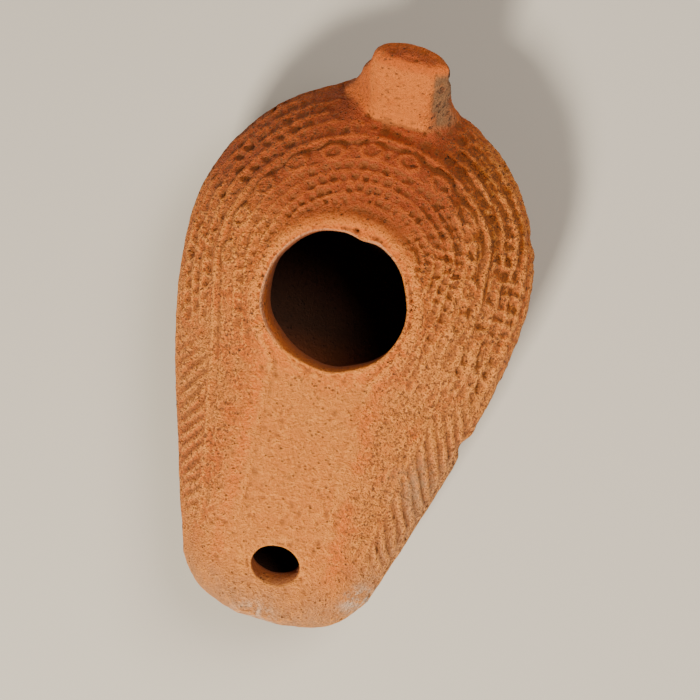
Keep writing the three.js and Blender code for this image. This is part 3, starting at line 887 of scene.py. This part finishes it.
def weather(clay):
    x, station, height = clay.points[:, 0], clay.points[:, 1] + lamp["backStation"] / 2, clay.points[:, 2]
    fromMiddle = np.hypot(x - mouth["holeOffset"], station - mouth["holeStation"])
    fromHole = np.abs(fromMiddle - mouth["holeRadius"])
    rimLow, rimHigh = wearing["rimBelow"]
    rimHeight = smoothstep(height, lamp["collarHeight"] - rimLow, lamp["collarHeight"] - rimHigh)
    atRim = bell(fromHole, 0.0, wearing["rimWidth"]) * rimHeight
    fromWick = np.hypot(x - wick["offset"], station - wearing["wickMiddle"]) - wearing["wickReach"]
    atWick = bell(fromWick, 0.0, wearing["rimWidth"]) * smoothstep(height, *wearing["wickHeights"])
    clay.smooth(np.maximum(atRim, atWick), wearing["rimRounds"])

    # Fillet where the handle grows out of the shoulder, wide at the sides and back, tight in front
    behindFront = np.maximum(station - handle["frontStation"], 0.0)
    beside = np.abs(x - handle["offset"]) - wearing["filletBeside"] - wearing["filletLean"] * behindFront
    before = handle["frontStation"] + (height - handle["footHeight"]) * handle["frontLean"] - station
    inFront = before > beside
    away = np.maximum(np.maximum(beside, before), wearing["filletDepth"])
    width = np.where(inFront, wearing["filletFrontWidth"], wearing["filletWidth"])
    fillet = bell(away, 0.0, width) * np.where(inFront, wearing["filletFrontShare"], 1.0)
    fillet *= ((1.0 - smoothstep(height, *wearing["filletTop"]))
               * smoothstep(height, *wearing["filletFoot"]))
    clay.smooth(fillet * smoothstep(station, *wearing["filletStations"]), wearing["filletRounds"])
    clay.smooth(clay.handle * smoothstep(height, *wearing["handleTop"]), wearing["handleTopRounds"])

    # Uneven clay, with pits on the right of the handle and a rough right shoulder
    spots = clay.points
    uneven = 0.0
    for depth, size, seed in wearing["uneven"]:
        uneven = uneven + depth * clayNoise(spots, size, seed)
    atHandle = smoothstep(x, *wearing["handleSide"])
    rightOfHandle = clay.handle * atHandle * smoothstep(height, *wearing["handleSideFoot"])
    pitDepth, pitSize, pitSeed = wearing["handleSidePits"]
    uneven -= pitDepth * rightOfHandle * np.clip(clayNoise(spots, pitSize, pitSeed) - 0.05, 0.0, 1.0)
    roughSide = smoothstep(x, *wearing["roughSide"]) * smoothstep(station, *wearing["roughFront"])
    roughness = clayNoise(spots, 1.2, 56) + 0.8 * clayNoise(spots, 0.6, 57)
    uneven += wearing["roughDepth"] * (roughSide * (1.0 - clay.handle)) * roughness

    # Pores all over the top, each at the point of the outside that is nearest to a chance place
    random = np.random.default_rng(pores["seed"])
    outside = np.flatnonzero((height > lamp["jointHeight"] + 1.0) & (clay.inside < 0.1))
    middles = []
    for east, north in random.uniform((-32.0, 1.0), (32.0, 108.0), (pores["count"], 2)):
        apart = np.abs(x[outside] - east) + np.abs(station[outside] - north)
        middles.append(spots[outside[np.argmin(apart)]])
    sizes = mix(pores["smallest"], pores["largest"], random.uniform(0.0, 1.0, pores["count"]) ** 3)
    for middle, size in zip(middles, sizes):
        near = np.flatnonzero(np.abs(spots[:, 0] - middle[0]) < size * 2.5)
        away = np.linalg.norm(spots[near] - middle, axis=1)
        uneven[near] -= pores["depth"] * bell(away, 0.0, size)
    for chipX, chipStation, chipHeight, reach, depth in chips:
        away = np.hypot(np.hypot(x - chipX, station - chipStation), height - chipHeight)
        uneven -= depth * np.exp(-(away / reach) ** 3)
    clay.push(uneven * (1.0 - 0.7 * clay.inside))
    np.maximum(clay.points[:, 2], 0.0, out=clay.points[:, 2])


# Marks for the colours: the inside, the handle, and how sunken each point lies among its
# neighbours, from 0 on edges to 1 in pits
def markHollows(clay):
    rounds, contrast = 8, 3.5
    normals = clay.normals()
    smoothed = clay.points
    for _ in range(rounds):
        smoothed = 0.4 * smoothed + 0.6 * clay.neighbourMean(smoothed)
    sunken = ((smoothed - clay.points) * normals).sum(axis=1)
    shares = {"sunken": 0.5 + sunken * contrast, "inside": clay.inside, "handle": clay.handle}
    for name, values in shares.items():
        attribute = clay.mesh.attributes.new(name, "FLOAT", "POINT")
        attribute.data.foreach_set("value", np.clip(values, 0.0, 1.0).astype(np.float32))


body = buildLamp()
body.name = "lampClay"
mesh = body.data
clay = Clay(mesh)
weather(clay)
markHollows(clay)
clay.write(millimetre)
mesh.shade_smooth()
print("weathered", len(clay.points), "points")


# Shader maths: a socket with operators that add Math nodes
class Socket:
    def __init__(self, finish, socket):
        self.finish = finish
        self.socket = socket

    def __add__(self, other):
        return self.finish.maths("ADD", self, other)

    def __radd__(self, other):
        return self.finish.maths("ADD", other, self)

    def __sub__(self, other):
        return self.finish.maths("SUBTRACT", self, other)

    def __rsub__(self, other):
        return self.finish.maths("SUBTRACT", other, self)

    def __mul__(self, other):
        return self.finish.maths("MULTIPLY", self, other)

    def __rmul__(self, other):
        return self.finish.maths("MULTIPLY", other, self)

    def __neg__(self):
        return self.finish.maths("MULTIPLY", -1.0, self)

    def __pow__(self, other):
        return self.finish.maths("POWER", self, other)

    def __abs__(self):
        return self.finish.maths("ABSOLUTE", self)


class Finish:
    def __init__(self, name):
        self.material = bpy.data.materials.new(name)
        self.material.use_nodes = True
        self.tree = self.material.node_tree
        self.tree.nodes.clear()

    def node(self, kind, settings=None, inputs=None, output=0):
        made = self.tree.nodes.new(kind)
        for setting, value in (settings or {}).items():
            setattr(made, setting, value)
        for name, value in (inputs or {}).items():
            if isinstance(value, Socket):
                self.tree.links.new(value.socket, made.inputs[name])
            else:
                made.inputs[name].default_value = value
        return Socket(self, made.outputs[output]) if len(made.outputs) else made

    def maths(self, operation, first, second=0.0):
        return self.node("ShaderNodeMath", {"operation": operation}, {0: first, 1: second})

    def blend(self, first, second, share):
        return self.node("ShaderNodeMix", {"data_type": "RGBA"}, {0: share, 6: first, 7: second}, 2)

    def noise(self, place, size, detail, rough):
        return self.node("ShaderNodeTexNoise", {}, {"Vector": place, "Scale": 1.0 / (size * millimetre),
                                                    "Detail": detail, "Roughness": rough})

    def pits(self, place, size):
        return self.node("ShaderNodeTexVoronoi", {}, {"Vector": place,
                                                      "Scale": 1.0 / (size * millimetre)})

    # Rises softly from 0 to 1 between two values
    def between(self, value, low, high):
        return self.node("ShaderNodeMapRange", {"interpolation_type": "SMOOTHSTEP"},
                         {"Value": value, "From Min": low, "From Max": high})


# Colours of the fired clay, as base colours, with some that paint shade or light onto it
claySkin = {
    "buff": (0.61, 0.196, 0.026, 1.0),
    "orange": (0.55, 0.108, 0.001, 1.0),
    # painted shade: a dark orange for the back and the handle's top, which face away from the light
    "shadeOrange": (0.265, 0.031, 0.0, 1.0),
    "redRim": (0.68, 0.145, 0.005, 1.0),
    # painted light: the paler colour of the handle's lit front face
    "litHandleFront": (0.70, 0.185, 0.018, 1.0),
    "grain": (0.80, 0.30, 0.045, 1.0),
    # pale grains darkened by the painted shade at the back
    "shadedBackGrain": (0.50, 0.10, 0.0, 1.0),
    "pore": (0.13, 0.035, 0.006, 1.0),
    # dark brown dirt, also the painted shade in the relief's hollows
    "soilAndShade": (0.25, 0.070, 0.010, 1.0),
    # pale ashen deposit, also the colour of the painted highlight on the filling hole's rim
    "ashAndHighlight": (0.60, 0.47, 0.38, 1.0),
    "greySide": (0.175, 0.088, 0.038, 1.0),
    "greyBuff": (0.41, 0.185, 0.075, 1.0),
    "grime": (0.36, 0.21, 0.11, 1.0),
    # inside colours: partly sooting, partly painted shade in the hollow
    "innerShadeClay": (0.24, 0.050, 0.008, 1.0),
    "sootAndShade": (0.028, 0.009, 0.003, 1.0),
    "roughness": 0.86,
    "bumpHeight": 0.0009,
}

# Noises in the clay: size in millimetres, detail and roughness
clayTexture = {
    "cloud": (16.0, 3.0, 0.55),
    "mottle": (4.5, 4.0, 0.55),
    "speck": (1.0, 3.0, 0.65),
    "grain": (0.46, 3.0, 0.75),
    "pores": 1.1,
    "deepPits": 1.5,
}

# Where each change of colour begins and where it is full, in millimetres from the lamp's middle
# across (x), along (y, back is positive) and up (z)
clayZones = {
    "offChannelX": (7.0, 15.0),
    "offChannelY": (-50.0, -30.0),
    # where the painted shade toward the back falls
    "towardBackShadeY": (-8.0, 26.0),
    "farBackShadeY": (14.0, 28.0),
    "lessFarBackShadeX": (12.0, 22.0),
    # where the painted light on the handle's front face and the painted shade on its top lie
    "behindHandleFront": (0.7, 1.6),
    "litHandleFrontTopZ": (38.8, 40.4),
    "litHandleFrontLeftX": (-5.4, -4.0),
    "capShadeZ": (40.6, 41.6),
    "rimRedY": (-8.0, 4.0),
    "frontEdge": (41.0, 53.0),
    "rightFlank": (27.0, 33.0),
    "rightFlankFront": (5.0, 18.0),
    "wornBand": (0.3, 1.9),
    "wornBandFrontY": (-48.0, -38.0),
    "wornBandBackY": (2.0, 8.0),
    "handleSideX": (6.9, 7.7),
    "handleSideTopZ": (38.0, 40.0),
    "handleSideDepth": (4.5, 8.5),
    # where the painted highlight on the filling hole's rim lies
    "rimHighlightSide": (4.0, 12.0),
    "rimHighlightZ": (31.0, 31.8),
    # where the darker clay and sooting inside lie, partly painted shade
    "wickY": (-37.0, -32.0),
    "wickLeft": (1.2, 2.6),
    "insideShadeZ": (29.5, 32.0),
    "sootShadeZ": (19.0, 24.0),
    "litFloorFrontY": (-20.0, -14.0),
    "litFloorBackY": (-8.0, 1.0),
}

# Single marks: x, station, and the distances between which they fade
marks = {
    "grime": (23.0, 33.0, 1.0, 9.0),
    "cornerAsh": (17.0, 8.5, 0.5, 5.0),
    "frontAsh": (-1.0, 0.0, 1.5, 7.0),
}


def terracottaFinish():
    finish = Finish("terracotta")
    between, blend = finish.between, finish.blend
    place = finish.node("ShaderNodeTexCoord", output=3)
    axes = finish.node("ShaderNodeSeparateXYZ", {}, {"Vector": place}).socket.node.outputs
    across, along, height = [Socket(finish, axis) for axis in axes]
    sunken, inside, onHandle = [finish.node("ShaderNodeAttribute", {"attribute_name": name}, output=2)
                                for name in ("sunken", "inside", "handle")]

    def zone(value, name):
        return between(value, *clayZones[name])

    def tint(colour, name, share):
        return blend(colour, claySkin[name], share)

    # Distance from a place in plan, in millimetres
    def planDistance(x, station):
        east = (across - x * millimetre) * 1000.0
        north = (along - (station - lamp["backStation"] / 2) * millimetre) * 1000.0
        return (east * east + north * north) ** 0.5

    def mark(name):
        x, station, near, far = marks[name]
        return 1.0 - between(planDistance(x, station), near, far)

    cloud, mottle, speck, grain = [finish.noise(place, *clayTexture[name])
                                   for name in ("cloud", "mottle", "speck", "grain")]
    y, x, z = along * 1000.0, across * 1000.0, height * 1000.0
    fromHole = planDistance(mouth["holeOffset"], mouth["holeStation"])

    # Buff along the channel and nozzle, orange on the flanks, and orange darkening toward the back as
    # painted shade, where the light falls off away from the front
    offChannel = zone(abs(x + 1.0) + (mottle - 0.5) * 8.0, "offChannelX") * zone(y, "offChannelY")
    flankOrange = between(mottle + (cloud - 0.5) * 0.9, 0.34, 0.66)
    colour = tint(claySkin["buff"], "orange", flankOrange * (0.25 + 0.7 * offChannel))
    towardBackShade = zone(y + (cloud - 0.5) * 26.0, "towardBackShadeY")
    colour = tint(colour, "orange", towardBackShade * 0.75)
    farBackShade = zone(y + (cloud - 0.5) * 16.0, "farBackShadeY") * (1.0 - 0.8 * zone(x, "lessFarBackShadeX"))
    colour = tint(colour, "shadeOrange", farBackShade * 0.9)

    # The handle is orange, with a painted highlight on its front face, which faces the light, and painted
    # shade on its top
    lean = (z - handle["footHeight"]) * handle["frontLean"]
    behindFront = y + (lamp["backStation"] / 2 - handle["frontStation"]) - lean
    litFront = onHandle * (1.0 - zone(behindFront, "behindHandleFront"))
    litFront = litFront * (1.0 - zone(z, "litHandleFrontTopZ")) * zone(x, "litHandleFrontLeftX")
    colour = tint(colour, "orange", onHandle)
    colour = tint(colour, "litHandleFront", litFront * 0.8)
    # painted shade on the handle's top, which faces away from the light
    capShade = onHandle * zone(z + behindFront * 0.4, "capShadeZ")
    colour = tint(colour, "shadeOrange", capShade * 0.95)

    # Red rim behind the filling hole, greyer buff at the nozzle's edges
    rim = 1.0 - between(fromHole + (speck - 0.5) * 2.0, mouth["collarRadius"] - 1.2,
                        mouth["collarRadius"] + 1.4)
    colour = tint(colour, "redRim", rim * zone(y + mottle * 8.0, "rimRedY") * 0.85)
    frontEdge = zone(-y + (mottle - 0.5) * 12.0, "frontEdge")
    rightFlank = zone(x - y * 0.35 + (mottle - 0.5) * 7.0, "rightFlank") * zone(-y, "rightFlankFront")
    greyer = finish.maths("MAXIMUM", frontEdge, rightFlank)
    colour = tint(colour, "greyBuff", greyer * between(cloud, 0.25, 0.45) * 0.9)

    # Redder clay where the channel's edges are worn
    fromBand = abs(abs(x - 0.3) - 10.8 + (mottle - 0.5) * 3.0)
    worn = (1.0 - zone(fromBand, "wornBand")) * zone(y, "wornBandFrontY")
    worn = worn * (1.0 - zone(y, "wornBandBackY"))
    colour = tint(colour, "redRim", worn * between(cloud, 0.35, 0.55) * 0.75)

    # Pale grains, fewer and darker under the painted shade at the back, pale raised edges that are wear
    # and partly a painted highlight, dirt and painted shade in the hollows, and fine pores
    paleGrain = blend(claySkin["grain"], claySkin["shadedBackGrain"], farBackShade)
    colour = blend(colour, paleGrain, between(speck, 0.5, 0.7) * (0.3 - 0.15 * farBackShade))
    colour = tint(colour, "soilAndShade", between(0.5 - speck, 0.02, 0.16) * (0.2 + 0.15 * offChannel))
    fineGrain = between(grain + (speck - 0.5) * 0.5, 0.52, 0.68)
    colour = blend(colour, paleGrain, fineGrain * (0.6 - 0.3 * farBackShade))
    # pale raised edges: wear and partly a painted highlight
    colour = blend(colour, paleGrain, between(0.5 - sunken, 0.05, 0.28) * 0.5)
    # dark hollows: dirt and partly painted shade in the relief's pits
    colour = tint(colour, "soilAndShade", between(sunken + (speck - 0.5) * 0.4, 0.56, 0.9) * 0.7)
    holes = finish.pits(place, clayTexture["pores"])
    poreSpots = (1.0 - between(holes, 0.1, 0.26)) * between(speck + (mottle - 0.5) * 0.4, 0.44, 0.6)
    darkGrain = between(0.5 - grain + (speck - 0.5) * 0.4 + offChannel * 0.06, 0.07, 0.15)
    darkSoil = tint(claySkin["soilAndShade"], "pore", offChannel * 0.5)
    colour = tint(colour, "pore", poreSpots * 0.7)
    colour = blend(colour, darkSoil, darkGrain * (0.7 + 0.3 * offChannel))

    # Grey, pitted right side of the handle
    beside = onHandle * zone(x, "handleSideX") * (1.0 - zone(z, "handleSideTopZ"))
    beside = beside * (1.0 - zone(behindFront + (mottle - 0.5) * 6.0, "handleSideDepth"))
    colour = tint(colour, "greySide", beside * between(mottle, 0.25, 0.45) * 0.9)
    deepPits = finish.pits(place, clayTexture["deepPits"])
    sidePits = beside * (1.0 - between(deepPits, 0.24, 0.4)) * between(speck, 0.38, 0.48)
    colour = tint(colour, "pore", sidePits * 0.9)

    # Grime on the right flank, an ashen deposit on the nozzle's front edge, and a painted highlight on
    # the lit back-left edge of the filling hole
    grime = mark("grime")
    colour = tint(colour, "grime", grime * between(mottle + speck * 0.4, 0.55, 0.85) * 0.6)
    nearAsh = finish.maths("MAXIMUM", mark("cornerAsh"), mark("frontAsh"))
    colour = tint(colour, "ashAndHighlight", nearAsh * between(speck + mottle * 0.6, 0.66, 0.95) * 0.8)
    # painted highlight: a thin pale band on the filling hole's lit rim edge
    rimHighlight = zone(y - x, "rimHighlightSide") * zone(z + (speck - 0.5) * 1.5, "rimHighlightZ")
    colour = tint(colour, "ashAndHighlight", rimHighlight * between(inside, 0.15, 0.4) * 0.25)

    # Inside, darker clay and sooting that are partly painted shade in the hollow, with less of them on a
    # lit patch of floor behind the nozzle
    wickSide = (1.0 - zone(y, "wickY")) * (1.0 - 0.5 * zone(-x, "wickLeft"))
    deep = between(inside, 0.4, 0.9) * (1.0 - zone(z + wickSide * 5.0, "insideShadeZ"))
    colour = tint(colour, "innerShadeClay", deep * 0.9)
    # darkest low inside: sooting and painted shade
    sootAndShadeMask = deep * (1.0 - zone(z - y * 0.1 - wickSide * 5.0, "sootShadeZ"))
    sootAndShadeMask = sootAndShadeMask * (1.0 - 0.7 * zone(y, "litFloorFrontY") * (1.0 - zone(y, "litFloorBackY")))
    colour = tint(colour, "sootAndShade", sootAndShadeMask * 0.9)

    bumps = (grain - 0.5) * 1.2 + (speck - 0.5) * 0.9 - poreSpots * 0.9 - sidePits * 1.5
    normal = finish.node("ShaderNodeBump", {}, {"Height": bumps, "Strength": 1.0,
                                                "Distance": claySkin["bumpHeight"]})
    shader = finish.node("ShaderNodeBsdfPrincipled", {}, {
        "Base Color": colour, "Roughness": claySkin["roughness"], "Normal": normal})
    finish.node("ShaderNodeOutputMaterial", {}, {"Surface": shader})
    return finish.material


mesh.materials.clear()
mesh.materials.append(terracottaFinish())
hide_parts("lamp_body")
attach(body, "root")
triangles = sum(len(polygon.vertices) - 2 for polygon in mesh.polygons)
print("lamp surface", len(mesh.vertices), "points", triangles, "triangles")

# Plain pale floor
floor = {"halfSize": 0.6, "colour": (0.40, 0.39, 0.38, 1.0), "roughness": 0.9}
floorMesh = bpy.data.meshes.new("floor")
half = floor["halfSize"]
floorCorners = [(-half, -half, 0), (half, -half, 0), (half, half, 0), (-half, half, 0)]
floorMesh.from_pydata(floorCorners, [], [(0, 1, 2, 3)])
floorPiece = bpy.data.objects.new("floor", floorMesh)
bpy.context.scene.collection.objects.link(floorPiece)
paper = Finish("floorPaper")
paperShader = paper.node("ShaderNodeBsdfPrincipled", {}, {
    "Base Color": floor["colour"], "Roughness": floor["roughness"]})
paper.node("ShaderNodeOutputMaterial", {}, {"Surface": paperShader})
floorMesh.materials.append(paper.material)

# Camera: nearly straight above, a little to the lamp's right and back, rolled as in the photo
view = {
    "sideLean": 0.1,
    "backLean": 0.08,
    "roll": 0.2572,
    "distance": 300.0,
    "target": (3.0, -1.1, 18.0),
    "pixelsPerMillimetre": 5.375,
    "frameWidth": 700,
    "sensor": 36.0,
    "nearClip": 0.01,
}


def addCamera():
    back = Vector((view["sideLean"], view["backLean"], 1.0)).normalized()
    up = (Vector((0, 1, 0)) - back * back.y).normalized()
    right = up.cross(back)
    cosine, sine = math.cos(view["roll"]), math.sin(view["roll"])
    rolledUp = up * cosine - right * sine
    rolledRight = right * cosine + up * sine
    camera = bpy.data.objects.new("camera", bpy.data.cameras.new("camera"))
    bpy.context.scene.collection.objects.link(camera)
    turn = Matrix((rolledRight, rolledUp, back)).transposed().to_4x4()
    spot = (Vector(view["target"]) + back * view["distance"]) * millimetre
    camera.matrix_world = Matrix.Translation(spot) @ turn
    focalPixels = view["pixelsPerMillimetre"] * view["distance"]
    camera.data.sensor_width = view["sensor"]
    camera.data.lens = focalPixels * view["sensor"] / view["frameWidth"]
    camera.data.clip_start = view["nearClip"]
    bpy.context.scene.camera = camera


addCamera()

# Soft studio light from the nozzle's side, low and a little to the left, with a weak fill
lights = [
    {"name": "softKey", "place": (-0.1, -0.5, 0.5), "size": 0.14,
     "power": 13.0, "colour": (1.0, 0.88, 0.68)},
    {"name": "softFill", "place": (0.26, 0.27, 0.52), "size": 0.3,
     "power": 4.4, "colour": (1.0, 0.88, 0.72)},
]
lightAim = Vector((0, 0, 0.02))
surroundings = {"Color": (1.0, 0.92, 0.84, 1.0), "Strength": 0.08}


def addLight(light):
    data = bpy.data.lights.new(light["name"], "AREA")
    data.energy = light["power"]
    data.size = light["size"]
    data.color = light["colour"]
    lamp = bpy.data.objects.new(light["name"], data)
    bpy.context.scene.collection.objects.link(lamp)
    lamp.location = light["place"]
    lamp.rotation_euler = (lightAim - Vector(light["place"])).to_track_quat("-Z", "Y").to_euler()


for light in lights:
    addLight(light)
world = bpy.data.worlds.new("studio")
bpy.context.scene.world = world
world.use_nodes = True
for name, value in surroundings.items():
    world.node_tree.nodes["Background"].inputs[name].default_value = value
print("stage, camera and lights set")
